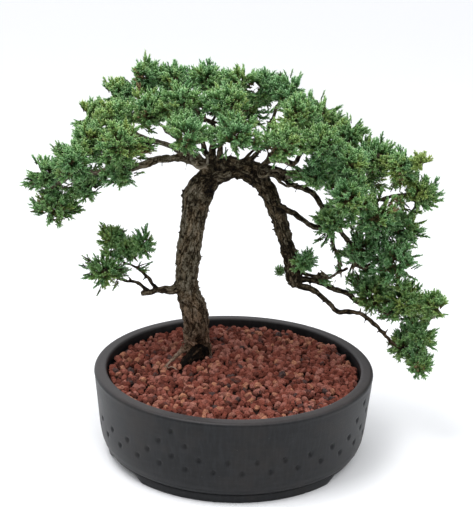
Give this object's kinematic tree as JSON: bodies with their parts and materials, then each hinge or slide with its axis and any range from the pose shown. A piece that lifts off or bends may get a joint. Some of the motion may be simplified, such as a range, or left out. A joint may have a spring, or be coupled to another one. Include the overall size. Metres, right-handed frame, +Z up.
{
  "type": "bonsai tree in a pot",
  "caption": "Juniper bonsai with an arched trunk that comes down again on one side, scale-leaf foliage in tufts, in a round dark clay pot topped with red lava gravel.",
  "frame": {"origin": "on the surface under the pot, on the pot's axis", "axes": "+Z up, front of the tree towards -Y, +X to the right seen from the front"},
  "size_m": [0.4533, 0.3, 0.4214],
  "materials": {
    "clay": "matte unglazed dark clay with a soft sheen",
    "mesh": "matte black plastic mesh",
    "earth": "dry dark soil",
    "lava": "porous matte lava",
    "bark": "flaky grey-brown bark",
    "leaf": "matte living scale leaves",
    "youngLeaf": "matte living scale leaves, new growth"
  },
  "bodies": {
    "root": {"drain_screen": "mesh", "foliage_back_1": "leaf", "foliage_back_2": "leaf", "foliage_back_3": "leaf", "foliage_back_4": "leaf", "foliage_back_5": "leaf", "foliage_knee_1": "leaf", "foliage_knee_2": "leaf", "foliage_left_1": "leaf", "foliage_left_10": "leaf", "foliage_left_11": "leaf", "foliage_left_12": "leaf", "foliage_left_2": "leaf", "foliage_left_3": "leaf", "foliage_left_4": "leaf", "foliage_left_5": "leaf", "foliage_left_6": "leaf", "foliage_left_7": "leaf", "foliage_left_8": "leaf", "foliage_left_9": "leaf", "foliage_low_1": "leaf", "foliage_low_2": "leaf", "foliage_low_3": "leaf", "foliage_low_4": "leaf", "foliage_low_5": "leaf", "foliage_low_6": "leaf", "foliage_right_1": "leaf", "foliage_right_10": "leaf", "foliage_right_11": "leaf", "foliage_right_12": "leaf", "foliage_right_2": "leaf", "foliage_right_3": "leaf", "foliage_right_4": "leaf", "foliage_right_5": "leaf", "foliage_right_6": "leaf", "foliage_right_7": "leaf", "foliage_right_8": "leaf", "foliage_right_9": "leaf", "foliage_sprig_1": "leaf", "foliage_sprig_2": "leaf", "foliage_sprig_3": "leaf", "foliage_sprig_4": "leaf", "foliage_tip_1": "youngLeaf", "foliage_top_1": "leaf", "foliage_top_10": "leaf", "foliage_top_11": "leaf", "foliage_top_12": "leaf", "foliage_top_13": "leaf", "foliage_top_2": "leaf", "foliage_top_3": "leaf", "foliage_top_4": "leaf", "foliage_top_5": "leaf", "foliage_top_6": "leaf", "foliage_top_7": "leaf", "foliage_top_8": "leaf", "foliage_top_9": "leaf", "lava_gravel": "lava", "pot": "clay", "potting_soil": "earth", "trunk_and_branches": "bark"}
  },
  "joints": []
}
